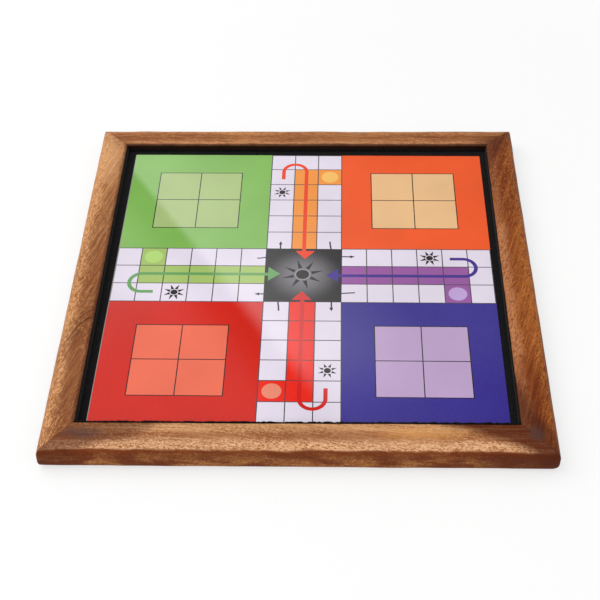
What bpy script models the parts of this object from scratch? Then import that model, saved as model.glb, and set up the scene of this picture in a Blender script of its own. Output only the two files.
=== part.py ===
"""Double-sided ludo and snakes and ladders board in a mitred wooden frame.

Metres, +Z up. The board lies on its frame with the ludo side up. The origin is on the surface
that it stands on, under the middle of the frame. The front is -Y and the right is +X.
"""

from math import cos, floor, pi, sin, sqrt

import bmesh
import bpy
from mathutils import Matrix, Vector

# Printed sheets: one square sheet on each side
PRINT_WIDTH = 0.254
SHEET_THICKNESS = 0.0004
LUDO_CELLS = 15
LUDO_ARM_CELLS = 3
LUDO_YARD_CELLS = 3.5
SNAKE_CELLS = 10

# Panel: a hardboard core with a black felt facing on each side
MARGIN_WIDTH = 0.0054
FACING_THICKNESS = 0.0005
CORE_THICKNESS = 0.003
CORE_CORNER_CUT = 0.003

# Frame: four rails of one moulding, mitred at the corners
RAIL_WIDTH = 0.020
RECESS_DEPTH = 0.005
OUTER_ROUND = 0.0055
INNER_ROUND = 0.0012
GROOVE_DEPTH = 0.005
ROUND_LIMIT_SHARE = 0.48

# Panel pins that hold each mitre, set below the face and covered with wood filler
PIN_DIAMETER = 0.0014
PIN_LENGTH = 0.025
PIN_POINT_LENGTH = 0.0018
PIN_HEAD_DIAMETER = 0.0024
PIN_HEAD_THICKNESS = 0.0008
PIN_SET = 0.0016
PIN_ROW_SHARES = (0.4, 0.8)

# Clearance kept between pieces that touch
SEAT_GAP = 0.0003
CUT_OVERRUN = 0.002

OUTER_ROUND_STEPS = 8
INNER_ROUND_STEPS = 3
PIN_SIDES = 12

# Sizes that follow from those above
CELL = PRINT_WIDTH / LUDO_CELLS
OPENING = PRINT_WIDTH + 2 * MARGIN_WIDTH
FRAME_WIDTH = OPENING + 2 * RAIL_WIDTH
HALF_FRAME = FRAME_WIDTH / 2
SHEET_OFFSET = CORE_THICKNESS / 2 + SEAT_GAP + FACING_THICKNESS + SEAT_GAP
PANEL_THICKNESS = 2 * (SHEET_OFFSET + SHEET_THICKNESS)
FRAME_HEIGHT = PANEL_THICKNESS + 2 * RECESS_DEPTH
MID_HEIGHT = FRAME_HEIGHT / 2
GROOVE_WIDTH = CORE_THICKNESS + 2 * SEAT_GAP
CORE_WIDTH = OPENING + 2 * (GROOVE_DEPTH - SEAT_GAP)
FACING_WIDTH = OPENING - 2 * SEAT_GAP

WOOD = ("stained_wood", (0.42, 0.19, 0.075), 0.42, 0.0)
FILLER = ("wood_filler", (0.17, 0.07, 0.03), 0.7, 0.0)
HARDBOARD = ("hardboard", (0.20, 0.12, 0.06), 0.8, 0.0)
FELT = ("black_felt", (0.010, 0.010, 0.011), 0.95, 0.0)
STEEL = ("pin_steel", (0.45, 0.45, 0.44), 0.35, 1.0)
SHEET_BACK = ("sheet_back", (0.75, 0.74, 0.72), 0.6, 0.0)
WHITE_INK = ("white_ink", (0.80, 0.75, 0.88), 0.25, 0.0)
CENTRE_INK = ("centre_ink", (0.075, 0.068, 0.075), 0.25, 0.0)

# Ludo colours in turn from the back left corner, clockwise as seen from above:
# the base, the yard inside it, and the home column that belongs to it
LUDO_INKS = (
    (("green_ink", (0.22, 0.52, 0.10), 0.25, 0.0), ("green_yard_ink", (0.49, 0.66, 0.30), 0.25, 0.0),
     ("green_home_ink", (0.37, 0.62, 0.15), 0.25, 0.0)),
    (("orange_ink", (0.85, 0.12, 0.03), 0.25, 0.0), ("orange_yard_ink", (0.82, 0.51, 0.23), 0.25, 0.0),
     ("orange_home_ink", (0.90, 0.36, 0.08), 0.25, 0.0)),
    (("violet_ink", (0.06, 0.035, 0.23), 0.25, 0.0), ("violet_yard_ink", (0.52, 0.35, 0.60), 0.25, 0.0),
     ("violet_home_ink", (0.32, 0.095, 0.38), 0.25, 0.0)),
    (("red_ink", (0.64, 0.05, 0.03), 0.25, 0.0), ("red_yard_ink", (0.86, 0.18, 0.11), 0.25, 0.0),
     ("red_home_ink", (0.85, 0.045, 0.025), 0.25, 0.0)),
)
SNAKE_INKS = (
    ("cream_ink", (0.86, 0.78, 0.58), 0.25, 0.0),
    ("sky_ink", (0.25, 0.52, 0.74), 0.25, 0.0),
    ("leaf_ink", (0.33, 0.60, 0.20), 0.25, 0.0),
    ("sun_ink", (0.88, 0.55, 0.08), 0.25, 0.0),
    ("rose_ink", (0.80, 0.20, 0.18), 0.25, 0.0),
)


def finish(spec):
    """Return the material of a name, colour, roughness and metallic value."""
    name, colour, roughness, metallic = spec
    material = bpy.data.materials.get(name)
    if material is None:
        material = bpy.data.materials.new(name)
        material.use_nodes = True
        shader = material.node_tree.nodes["Principled BSDF"]
        shader.inputs["Base Color"].default_value = (*colour, 1.0)
        shader.inputs["Roughness"].default_value = roughness
        shader.inputs["Metallic"].default_value = metallic
        material.diffuse_color = (*colour, 1.0)
    return material


def add_object(name, mesh, specs, place=Matrix()):
    """Link an object with its materials at its place."""
    item = bpy.data.objects.new(name, mesh)
    for spec in specs:
        if finish(spec).name not in mesh.materials:
            mesh.materials.append(finish(spec))
    item.matrix_world = place
    bpy.context.collection.objects.link(item)
    return item


def mesh_from(bm, name):
    """Turn a bmesh into a mesh with its faces pointing out."""
    bmesh.ops.recalc_face_normals(bm, faces=bm.faces)
    mesh = bpy.data.meshes.new(name)
    bm.to_mesh(mesh)
    bm.free()
    return mesh


def arc(centre, radius, start, stop, steps):
    """Return the points of an arc, both ends included."""
    turns = [start + (stop - start) * step / steps for step in range(steps + 1)]
    return [(centre[0] + radius * cos(turn), centre[1] + radius * sin(turn)) for turn in turns]


def moulding_outline():
    """Return the rail's section: how far in from the outer face, and how high."""
    outer = min(OUTER_ROUND, ROUND_LIMIT_SHARE * FRAME_HEIGHT, ROUND_LIMIT_SHARE * RAIL_WIDTH)
    inner = min(INNER_ROUND, ROUND_LIMIT_SHARE * RECESS_DEPTH)
    groove_in = RAIL_WIDTH - GROOVE_DEPTH
    groove_low = MID_HEIGHT - GROOVE_WIDTH / 2
    groove_high = MID_HEIGHT + GROOVE_WIDTH / 2
    outline = arc((outer, outer), outer, 3 * pi / 2, pi, OUTER_ROUND_STEPS)
    outline += arc((outer, FRAME_HEIGHT - outer), outer, pi, pi / 2, OUTER_ROUND_STEPS)
    outline += arc((RAIL_WIDTH - inner, FRAME_HEIGHT - inner), inner, pi / 2, 0, INNER_ROUND_STEPS)
    outline += [(RAIL_WIDTH, groove_high), (groove_in, groove_high)]
    outline += [(groove_in, groove_low), (RAIL_WIDTH, groove_low)]
    outline += arc((RAIL_WIDTH - inner, inner), inner, 0, -pi / 2, INNER_ROUND_STEPS)
    return outline


def rail_mesh(name):
    """Model the front rail: its section drawn on the left mitre and extruded to the right one."""
    mitre_inset = SEAT_GAP / sqrt(2)
    bm = bmesh.new()
    section = [bm.verts.new((-(HALF_FRAME - inward - mitre_inset), inward - HALF_FRAME, height))
               for inward, height in moulding_outline()]
    extruded = bmesh.ops.extrude_face_region(bm, geom=[bm.faces.new(section)])
    for vertex in extruded["geom"]:
        if isinstance(vertex, bmesh.types.BMVert):
            vertex.co.x = -vertex.co.x
    mesh = mesh_from(bm, name)
    mesh.shade_smooth()
    mesh.set_sharp_from_angle(angle=pi / 5)
    return mesh


def turned_mesh(name, profile, sides=PIN_SIDES):
    """Turn a profile of (radius, distance along) points round the X axis into a closed solid."""
    bm = bmesh.new()
    points = [bm.verts.new((along, radius, 0)) for radius, along in profile]
    edges = [bm.edges.new(pair) for pair in zip(points, points[1:])]
    bmesh.ops.spin(bm, geom=points + edges, cent=(0, 0, 0), axis=(1, 0, 0), angle=2 * pi,
                   steps=sides, use_merge=True)
    bmesh.ops.remove_doubles(bm, verts=bm.verts, dist=SEAT_GAP / 100)
    mesh = mesh_from(bm, name)
    mesh.shade_smooth()
    mesh.set_sharp_from_angle(angle=pi / 5)
    return mesh


def bore_mesh():
    """The stepped hole for a pin, from outside the side face to just past the pin's point."""
    shank = PIN_DIAMETER / 2 + SEAT_GAP
    head = PIN_HEAD_DIAMETER / 2 + SEAT_GAP
    head_end = PIN_SET + PIN_HEAD_THICKNESS + SEAT_GAP
    end = PIN_SET + PIN_LENGTH + SEAT_GAP
    return turned_mesh("pin_bore", [(0, -CUT_OVERRUN), (head, -CUT_OVERRUN), (head, head_end),
                                    (shank, head_end), (shank, end), (0, end)])


def pin_mesh():
    """A panel pin: a small flat head, a round shank and a drawn point."""
    shank = PIN_DIAMETER / 2
    head = PIN_HEAD_DIAMETER / 2
    neck = PIN_SET + PIN_HEAD_THICKNESS
    end = PIN_SET + PIN_LENGTH
    return turned_mesh("panel_pin", [(0, PIN_SET), (head, PIN_SET), (head, neck), (shank, neck),
                                     (shank, end - PIN_POINT_LENGTH), (0, end)])


def filler_mesh():
    """The filler over a pin's head, flush with the side face."""
    head = PIN_HEAD_DIAMETER / 2
    depth = PIN_SET - SEAT_GAP
    return turned_mesh("filler_plug", [(0, 0), (head, 0), (head, depth), (0, depth)])


def pin_places():
    """Return the place of each pin's line, where it enters a side rail, by frame corner."""
    solid_width = RAIL_WIDTH - GROOVE_DEPTH
    places = {}
    for end, end_name in ((-1, "front"), (1, "back")):
        for side, side_name in ((-1, "left"), (1, "right")):
            turn = Matrix.Rotation(pi if side > 0 else 0, 4, "Z")
            places[end_name, side_name] = [
                Matrix.Translation((side * HALF_FRAME, end * (HALF_FRAME - share * solid_width),
                                    MID_HEIGHT)) @ turn
                for share in PIN_ROW_SHARES]
    return places


def add_frame():
    """Add the four rails, drilled for the pins, then the pins and the filler over them."""
    moulding = rail_mesh("moulding")
    bore = bore_mesh()
    pin = pin_mesh()
    filler = filler_mesh()
    bores = []
    for corner, places in pin_places().items():
        for number, place in enumerate(places, start=1):
            ending = "_".join(corner) + "_" + str(number)
            cutter = add_object("bore_" + ending, bore, (), place)
            cutter.hide_render = True
            cutter.display_type = "WIRE"
            bores.append((corner, cutter))
            add_object("pin_" + ending, pin, (STEEL,), place)
            add_object("filler_" + ending, filler, (FILLER,), place)
    for quarter, side in enumerate(("front", "right", "back", "left")):
        rail = add_object(side + "_rail", moulding, (WOOD,), Matrix.Rotation(quarter * pi / 2, 4, "Z"))
        for corner, cutter in bores:
            if side in corner:
                drilling = rail.modifiers.new(cutter.name, "BOOLEAN")
                drilling.operation = "DIFFERENCE"
                drilling.solver = "EXACT"
                drilling.object = cutter


def board_mesh(name, width, thickness, corner_cut):
    """A square board, its underside at zero height, with its corners cut off."""
    bm = bmesh.new()
    bmesh.ops.create_grid(bm, x_segments=1, y_segments=1, size=width / 2)
    if corner_cut:
        bmesh.ops.bevel(bm, geom=bm.verts[:], offset=corner_cut, segments=1, affect="VERTICES")
    extruded = bmesh.ops.extrude_face_region(bm, geom=bm.faces[:], use_keep_orig=True)
    lifted = [part for part in extruded["geom"] if isinstance(part, bmesh.types.BMVert)]
    bmesh.ops.translate(bm, vec=(0, 0, thickness), verts=lifted)
    return mesh_from(bm, name)


def add_panel():
    """Add the core, which sits in the rails' grooves, and the felt on both of its faces."""
    core_base = MID_HEIGHT - CORE_THICKNESS / 2
    add_object("core_panel", board_mesh("core_panel", CORE_WIDTH, CORE_THICKNESS, CORE_CORNER_CUT),
               (HARDBOARD,), Matrix.Translation((0, 0, core_base)))
    facing = board_mesh("facing", FACING_WIDTH, FACING_THICKNESS, 0)
    facing_offset = CORE_THICKNESS / 2 + SEAT_GAP
    add_object("top_felt", facing, (FELT,), Matrix.Translation((0, 0, MID_HEIGHT + facing_offset)))
    add_object("bottom_felt", facing, (FELT,),
               Matrix.Translation((0, 0, MID_HEIGHT - facing_offset - FACING_THICKNESS)))


def sheet_mesh(name, lines, ink_at, back_ink):
    """A thin sheet whose face is split along the lines, each field in the ink that ink_at gives."""
    specs = []
    bm = bmesh.new()
    grid = [[bm.verts.new((across, along, SHEET_THICKNESS)) for across in lines] for along in lines]
    for row, next_row in zip(grid, grid[1:]):
        for column in range(len(lines) - 1):
            corners = (row[column], row[column + 1], next_row[column + 1], next_row[column])
            field = bm.faces.new(corners)
            middle = field.calc_center_median()
            spec = ink_at(middle.x, middle.y)
            if spec not in specs:
                specs.append(spec)
            field.material_index = specs.index(spec)
    specs.append(back_ink)
    rim = grid[0] + [row[-1] for row in grid[1:]] + grid[-1][-2::-1] + [row[0] for row in grid[-2:0:-1]]
    base = [bm.verts.new((vertex.co.x, vertex.co.y, 0)) for vertex in rim]
    walls = [bm.faces.new((rim[i - 1], base[i - 1], base[i], rim[i])) for i in range(len(rim))]
    walls.append(bm.faces.new(base))
    for wall in walls:
        wall.material_index = len(specs) - 1
    return mesh_from(bm, name), specs


def ludo_ink(across, along):
    """Return the ink of the ludo field at a place on the sheet."""
    half_arm = LUDO_ARM_CELLS / 2
    half_yard = LUDO_YARD_CELLS / 2
    half_print = LUDO_CELLS / 2
    base_middle = (half_arm + half_print) / 2
    x, y = across / CELL, along / CELL
    if max(abs(x), abs(y)) < half_arm:
        return CENTRE_INK
    if min(abs(x), abs(y)) > half_arm:
        corner = {(-1, 1): 0, (1, 1): 1, (1, -1): 2, (-1, -1): 3}[round(x / abs(x)), round(y / abs(y))]
        in_yard = max(abs(abs(x) - base_middle), abs(abs(y) - base_middle)) < half_yard
        return LUDO_INKS[corner][1 if in_yard else 0]
    # Turn the arm to the back, so that one arm's rules serve all four
    arm = (1 if y > half_arm else 2 if x > half_arm else 3 if y < -half_arm else 0)
    turned = Matrix.Rotation((arm - 1) * pi / 2, 2) @ Vector((x, y))
    if abs(turned.x) < 0.5 and turned.y < half_print - 1:
        return LUDO_INKS[ARM_COLOUR[arm]][2]
    if turned.x > 0.5 and half_print - 2 < turned.y < half_print - 1:
        return LUDO_INKS[ARM_COLOUR[arm]][0]
    return WHITE_INK


# The colour of the left, back, right and front arm, as its place in LUDO_INKS
ARM_COLOUR = (0, 1, 2, 3)


def ludo_lines():
    """Return the cell lines and the yards' edges, in order, across the sheet."""
    cell_lines = {number - LUDO_CELLS / 2 for number in range(LUDO_CELLS + 1)}
    base_middle = (LUDO_ARM_CELLS / 2 + LUDO_CELLS / 2) / 2
    for side in (-1, 1):
        for edge in (-1, 1):
            cell_lines.add(side * (base_middle + edge * LUDO_YARD_CELLS / 2))
    return [line * CELL for line in sorted(cell_lines)]


def snake_ink(across, along):
    """Return the ink of a numbered square, which steps on along the rows and across them."""
    square = PRINT_WIDTH / SNAKE_CELLS
    column = floor(across / square + SNAKE_CELLS / 2)
    row = floor(along / square + SNAKE_CELLS / 2)
    return SNAKE_INKS[(column + 2 * row) % len(SNAKE_INKS)]


def snake_lines():
    """Return the lines between the numbered squares, in order, across the sheet."""
    square = PRINT_WIDTH / SNAKE_CELLS
    return [(number - SNAKE_CELLS / 2) * square for number in range(SNAKE_CELLS + 1)]


def add_sheets():
    """Add the ludo sheet on top and, turned over like a page, the other sheet underneath."""
    mesh, specs = sheet_mesh("ludo_sheet", ludo_lines(), ludo_ink, SHEET_BACK)
    add_object("ludo_sheet", mesh, specs, Matrix.Translation((0, 0, MID_HEIGHT + SHEET_OFFSET)))
    mesh, specs = sheet_mesh("snakes_and_ladders_sheet", snake_lines(), snake_ink, SHEET_BACK)
    turned_over = Matrix.Rotation(pi, 4, "Y")
    add_object("snakes_and_ladders_sheet", mesh, specs,
               Matrix.Translation((0, 0, MID_HEIGHT - SHEET_OFFSET)) @ turned_over)


def main():
    for item in list(bpy.data.objects):
        bpy.data.objects.remove(item)
    add_frame()
    add_panel()
    add_sheets()
    bpy.context.view_layer.update()


main()
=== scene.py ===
"""A two-sided board for ludo and for snakes and ladders, in a mitred hardwood frame."""

import math

import bmesh
import bpy
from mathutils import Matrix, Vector, noise
from mathutils.geometry import delaunay_2d_cdt


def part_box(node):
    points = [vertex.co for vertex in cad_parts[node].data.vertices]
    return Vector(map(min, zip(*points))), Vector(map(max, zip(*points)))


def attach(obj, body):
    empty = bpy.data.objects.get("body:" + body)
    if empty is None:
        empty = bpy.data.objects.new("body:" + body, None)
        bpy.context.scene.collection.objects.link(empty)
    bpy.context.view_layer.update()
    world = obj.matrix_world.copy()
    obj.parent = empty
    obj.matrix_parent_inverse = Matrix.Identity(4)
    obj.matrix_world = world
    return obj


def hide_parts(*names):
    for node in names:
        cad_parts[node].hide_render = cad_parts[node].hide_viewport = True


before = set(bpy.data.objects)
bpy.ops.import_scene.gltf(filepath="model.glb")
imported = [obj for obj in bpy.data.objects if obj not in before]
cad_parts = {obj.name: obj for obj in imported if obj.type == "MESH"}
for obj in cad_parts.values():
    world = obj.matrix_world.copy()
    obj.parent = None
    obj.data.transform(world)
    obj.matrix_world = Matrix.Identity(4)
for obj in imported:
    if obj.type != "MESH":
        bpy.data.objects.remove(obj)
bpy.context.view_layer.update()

# Sizes in metres, as in the solids.
FRAME_HALF = 0.1524
FRAME_HEIGHT = 0.016
RAIL_WIDTH = 0.020
INSIDE = FRAME_HALF - RAIL_WIDTH
UPPER_ROUND = 0.0055
LOWER_ROUND = 0.0055
INNER_ROUND = 0.0012
GROOVE_LOW = 0.0062
GROOVE_HIGH = 0.0098
GROOVE_DEPTH = 0.005
PRINT_WIDTH = 0.254
SHEET_THICKNESS = 0.0005
LUDO_TOP = 0.011
SNAKES_FACE = 0.005

# What hand work has changed or added, also in metres.
FRONT_ROUND = 0.0032
SHARP_HALF = 0.1465
SHARP_FADE = 0.024
SIDE_LEAN = 0.0008
MITRE_PLAY = 0.00004
MITRE_EASE = 0.00018
CORNER_ROUND = 0.0014
BACK_CORNER_ROUND = 0.0010
WORN_CORNER = 0.0022
SANDING_DEPTH = 0.0005
SANDING_SCALE = 0.022
UNMOVED_EDGE = 0.0035
DAB_DEPTH = 0.0011
LINING_HALF = 0.1321
LINING_THICKNESS = 0.0008
WALL_LINING_THICKNESS = 0.0004
WALL_LINING_PLAY = 0.00055
LUDO_TURN = math.radians(-0.21)
LUDO_SHIFT = (0.00058, 0.00017)

# Counts.
RAIL_CUTS = 76
CORNER_CUTS = 6
LUDO_CELLS = 15
SNAKE_CELLS = 10

# How each rail is turned from the front one, and which axis runs across it.
RAILS = {
    "front": (0.0, 1),
    "right": (math.pi / 2, 0),
    "back": (math.pi, 1),
    "left": (-math.pi / 2, 0),
}


def leave_all_alone():
    """Out of edit mode, with nothing selected."""
    if bpy.context.object and bpy.context.object.mode != "OBJECT":
        bpy.ops.object.mode_set(mode="OBJECT")
    bpy.ops.object.select_all(action="DESELECT")


def take_up(piece):
    """Only this piece is selected and active."""
    leave_all_alone()
    piece.select_set(True)
    bpy.context.view_layer.objects.active = piece


def start_editing(piece, kind):
    take_up(piece)
    bpy.ops.object.mode_set(mode="EDIT")
    bpy.ops.mesh.select_mode(type=kind)
    bpy.ops.mesh.select_all(action="DESELECT")


def choose_all():
    bpy.ops.mesh.select_all(action="SELECT")


def choose(piece, kind, test):
    """Selects the edges or the faces that pass the test, and no others."""
    work = bmesh.from_edit_mesh(piece.data)
    for part in getattr(work, kind):
        part.select_set(False)
    for part in getattr(work, kind):
        if test(part):
            part.select_set(True)
    bmesh.update_edit_mesh(piece.data)


def choose_edges(piece, test):
    choose(piece, "edges", lambda edge: test(edge.verts[0].co, edge.verts[1].co))


def cut_through(place, direction, **options):
    choose_all()
    bpy.ops.mesh.bisect(plane_co=place, plane_no=direction, **options)


def extrude(*move):
    """Draws out what is selected, by so much along x, y and z."""
    bpy.ops.mesh.extrude_region_move(TRANSFORM_OT_translate={"value": move})


def add_shape(name, operator, **options):
    """A new piece, from one of Blender's own shapes."""
    leave_all_alone()
    operator(**options)
    piece = bpy.context.object
    piece.name = name
    return piece


def add_object(name, data):
    """A new object in the scene, made from its data."""
    made = bpy.data.objects.new(name, data)
    bpy.context.scene.collection.objects.link(made)
    return made


def settle(piece):
    """Ends the editing, with the piece's place in its mesh."""
    take_up(piece)
    bpy.ops.object.transform_apply(location=True, rotation=True, scale=True)


def finish_mesh(piece, degrees, material):
    """Turns the faces outward, smooths all but the sharper edges and adds the material."""
    choose_all()
    bpy.ops.mesh.normals_make_consistent(inside=False)
    bpy.ops.object.mode_set(mode="OBJECT")
    bpy.ops.object.shade_smooth_by_angle(angle=math.radians(degrees))
    piece.data.materials.append(material)


def hand_over(piece, node):
    """Says what the piece rides on, and hides the solid it stands for."""
    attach(piece, "root")
    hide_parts(node)


def near(a, b, play=1e-5):
    return abs(a - b) < play


def limit(value):
    return min(1.0, max(0.0, value))


def corner_drift(corners, x, y, half):
    """The drift at a point, blended between the drifts given for the four corners."""
    right = limit((x / half + 1) / 2)
    back = limit((y / half + 1) / 2)
    move = Vector((0.0, 0.0, 0.0))
    for (side, depth), (dx, dy) in corners.items():
        weight = (right if side > 0 else 1 - right) * (back if depth > 0 else 1 - back)
        move.x += dx * weight
        move.y += dy * weight
    return move


# Colours are written as on screen, and turned into light values here.
def shade(code):
    parts = [int(code[i : i + 2], 16) / 255 for i in (0, 2, 4)]
    light = [p / 12.92 if p <= 0.04045 else ((p + 0.055) / 1.055) ** 2.4 for p in parts]
    return (*light, 1.0)


class Flow:
    """What a node gives, so that it can stand in a plain sum."""

    def __init__(self, recipe, socket):
        self.recipe = recipe
        self.socket = socket

    def __add__(self, other):
        return self.recipe.sum("ADD", self, other)

    def __sub__(self, other):
        return self.recipe.sum("SUBTRACT", self, other)

    def __mul__(self, other):
        return self.recipe.sum("MULTIPLY", self, other)

    def __truediv__(self, other):
        return self.recipe.sum("DIVIDE", self, other)

    def __abs__(self):
        return self.recipe.sum("ABSOLUTE", self)


class Recipe:
    """Nodes of one material or group, added by short calls."""

    def __init__(self, tree):
        self.tree = tree

    def node(self, kind, **settings):
        made = self.tree.nodes.new(kind)
        for key, value in settings.items():
            setattr(made, key, value)
        return made

    def put(self, value, socket):
        if isinstance(value, Flow):
            self.tree.links.new(value.socket, socket)
        else:
            socket.default_value = value

    def made(self, kind, values, output=0, **settings):
        """A node with its inputs filled, by number or by name."""
        made = self.node(kind, **settings)
        for key, value in values.items():
            self.put(value, made.inputs[key])
        return Flow(self, made.outputs[output])

    def sum(self, kind, a, b=0.5):
        return self.made("ShaderNodeMath", {0: a, 1: b}, operation=kind)

    def vector(self, kind, a, b=(0, 0, 0)):
        output = "Value" if kind in ("DISTANCE", "LENGTH") else "Vector"
        return self.made("ShaderNodeVectorMath", {0: a, 1: b}, output, operation=kind)

    def mix(self, factor, a, b):
        return self.made("ShaderNodeMix", {"Factor": factor, 6: a, 7: b}, 2, data_type="RGBA")

    def spread(self, value, low, high, to_low=0.0, to_high=1.0, smooth=True):
        ends = {"From Min": low, "From Max": high, "To Min": to_low, "To Max": to_high}
        kind = "SMOOTHSTEP" if smooth else "LINEAR"
        return self.made("ShaderNodeMapRange", {"Value": value, **ends}, interpolation_type=kind)

    def noise(self, place, scale, detail=2.0, rough=0.5, seed=None, bend=0.0):
        values = {"Vector": place, "Scale": scale, "Detail": detail, "Roughness": rough}
        values["Distortion"] = bend
        if seed is None:
            return self.made("ShaderNodeTexNoise", values, "Fac")
        values["W"] = seed
        return self.made("ShaderNodeTexNoise", values, "Fac", noise_dimensions="4D")

    def apart(self, vector):
        made = self.node("ShaderNodeSeparateXYZ")
        self.put(vector, made.inputs[0])
        return [Flow(self, output) for output in made.outputs]

    def together(self, x, y, z):
        return self.made("ShaderNodeCombineXYZ", {0: x, 1: y, 2: z})

    def read(self, kind, output):
        """One output of a node that takes nothing in."""
        return Flow(self, self.node(kind).outputs[output])

    def give(self, colour, rough, height):
        """Ends a group, and returns it."""
        ends = self.node("NodeGroupOutput").inputs
        for label, value in (("Color", colour), ("Roughness", rough), ("Height", height)):
            self.put(value, ends[label])
        return self.tree


def start_group(name, more=None):
    """A node group that reads Place, in millimetres, and gives a finish."""
    tree = bpy.data.node_groups.new(name, "ShaderNodeTree")
    kinds = {type(None): "NodeSocketVector", float: "NodeSocketFloat", str: "NodeSocketColor"}
    labels = {"Place": None, **(more or {})}
    for label, value in labels.items():
        socket = tree.interface.new_socket(label, in_out="INPUT", socket_type=kinds[type(value)])
        if value is not None:
            socket.default_value = shade(value) if isinstance(value, str) else value
    for label, kind in (("Color", "Color"), ("Roughness", "Float"), ("Height", "Float")):
        tree.interface.new_socket(label, in_out="OUTPUT", socket_type="NodeSocket" + kind)
    recipe = Recipe(tree)
    given = recipe.node("NodeGroupInput").outputs
    return recipe, {label: Flow(recipe, given[label]) for label in labels}


def wood_figure():
    """Open-grained brown hardwood: streaks, short flecks, pores, a paler outer edge worn by sanding
    and painted with a highlight, and painted light and shade.

    Place is in the front rail's own directions: x along the grain, y from -152.4
    outside to -132.4 inside, z up.
    """
    recipe, takes = start_group(
        "open_grained_hardwood",
        {
            "Seed": 0.0, "Slant": 0.0, "Sweep": 0.0, "Lean": 0.5,
            "Stretch": 0.4, "Fineness": 1.15, "Flecks": 0.5,
            "Pale": "CCCCCC", "Middle": "808080", "Dark": "333333", "Bright": "E6CCB3",
            "Side": "4C1E08", "Side Gold": "7A4A1C", "Heart": "481C0C",
            "Sanded Highlight": 0.6, "Band": 140.5, "Edge": 149.9, "Rim": 0.0,
            "Low At": 100.0, "Low Heart": 0.5, "High At": 100.0, "High Heart": 0.5,
            "Inner": 0.0, "Inner Tone": "C68A62",
            "Hollow": 0.2, "Hollow At": 140.0, "Hollow Wide": 4.5, "Hollow From": -400.0,
            "Light At": 0.0, "Light Reach": 160.0,
        },
    )
    spread = recipe.spread
    noise_at = recipe.noise
    place = takes["Place"]
    seed = takes["Seed"]
    pale = takes["Pale"]
    dark = takes["Dark"]
    fine = takes["Fineness"]
    x, y, z = recipe.apart(place)
    drift = noise_at(recipe.together(x * 0.011, y * 0.03, 0.0), 1.0, 2.0, 0.5, seed)
    swept = spread(x, -95.0, 80.0) * takes["Sweep"] + y
    across = drift * 9.0 + (x * takes["Slant"] + swept)

    def streaks(along, over, detail, rough, bend=0.0):
        spot = recipe.together(x * along, across * over, z * over)
        return noise_at(spot, 1.0, detail, rough, seed, bend)

    # Lays a tone over the colour where the mask says: the wood's own tones, and also the painted
    # light and shade.
    def stain(mask, tone):
        nonlocal colour
        colour = recipe.mix(mask, colour, tone)

    bands = streaks(0.008, 0.15, 3.0, 0.55, 0.4)
    lines = streaks(0.024, 0.85, 4.0, 0.62)
    grain = streaks(0.045, 1.8, 3.0, 0.6)
    fibres = streaks(0.085, 3.0, 3.0, 0.65)
    stipple = spread(streaks(0.9, 1.9, 2.0, 0.55), 0.56, 0.68)
    blotches = noise_at(place, 0.028, 2.0, 0.5, seed)
    patches = noise_at(place, 0.075, 2.0, 0.55, seed)
    lean = {"Vector": place, "Angle": takes["Lean"]}
    turned = recipe.made("ShaderNodeVectorRotate", lean, rotation_type="Z_AXIS")
    stretched = recipe.vector("MULTIPLY", turned, recipe.together(takes["Stretch"], fine, fine))
    flecks = noise_at(stretched, 1.0, 3.0, 0.60, seed, 0.5)

    colour = recipe.mix(spread(bands, 0.34, 0.60), dark, takes["Middle"])
    stain(spread(lines, 0.49, 0.60, 0.0, 0.9), pale)
    stain(spread(lines, 0.49, 0.39, 0.0, 0.8), dark)
    stain(spread(grain, 0.50, 0.62, 0.0, 0.5), pale)
    stain(spread(grain, 0.49, 0.38, 0.0, 0.5), dark)
    stain(spread(blotches, 0.45, 0.72, 0.0, 0.35), dark)
    # Painted light and shade: each rail is painted paler near Light At and darker away from it,
    # over Light Reach, like a pool of light along its length.
    off_light = abs(x - takes["Light At"])
    painted_light_falloff = spread(off_light / takes["Light Reach"], 0.15, 1.0)
    stain(painted_light_falloff * 0.55, dark)
    stain(painted_light_falloff * -0.3 + 0.3, pale)
    stain(spread(fibres, 0.35, 0.70, 0.25, 0.0), shade("2A1208"))

    # Painted highlight: the inner edge of the top is painted paler in the Inner Tone, and more so
    # near the painted light.
    inside = spread(patches * 8.0 + y, -136.5, -130.5) * spread(flecks, 0.60, 0.42, 0.3, 1.0)
    inside = inside * spread(painted_light_falloff, 1.0, 0.3, 0.4, 1.0)
    stain(inside * takes["Inner"], takes["Inner Tone"])

    # Painted shade: a darker band along the middle of the top, as the shade of a shallow hollow
    # that the mesh does not have.
    off_middle = patches * 3.0 + (abs(y + takes["Hollow At"]) - 1.5)
    begins = takes["Hollow From"]
    hollow = spread(off_middle, takes["Hollow Wide"], 0.5) * spread(x, begins, begins + 75.0)
    stain(hollow * takes["Hollow"], dark)

    # The outer edge is painted paler, in a band that wanders along the rail: partly wood worn pale
    # by sanding, partly a painted highlight on the rounded edge, with painted glints in the Bright
    # tone.
    wobble = noise_at(recipe.together(x, 0.0, 0.0), 0.055, 3.0, 0.6, seed)
    outward = y * -1.0 + (wobble * 3.2 - 1.6)
    past_edge = outward - takes["Edge"]
    banded = patches * 6.0 + outward - takes["Band"]
    sanded_and_highlit = spread(banded, 0.0, 6.0) * spread(past_edge, 1.1, -0.4) * spread(z, 12.0, 13.5)
    strength = sanded_and_highlit * takes["Sanded Highlight"] * spread(bands, 0.36, 0.58, 0.7, 1.0)
    stain(strength * spread(flecks, 0.60, 0.42, 0.35, 1.0), pale)
    stain(strength * spread(flecks, 0.47, 0.34, 0.0, 0.8), takes["Bright"])

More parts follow.
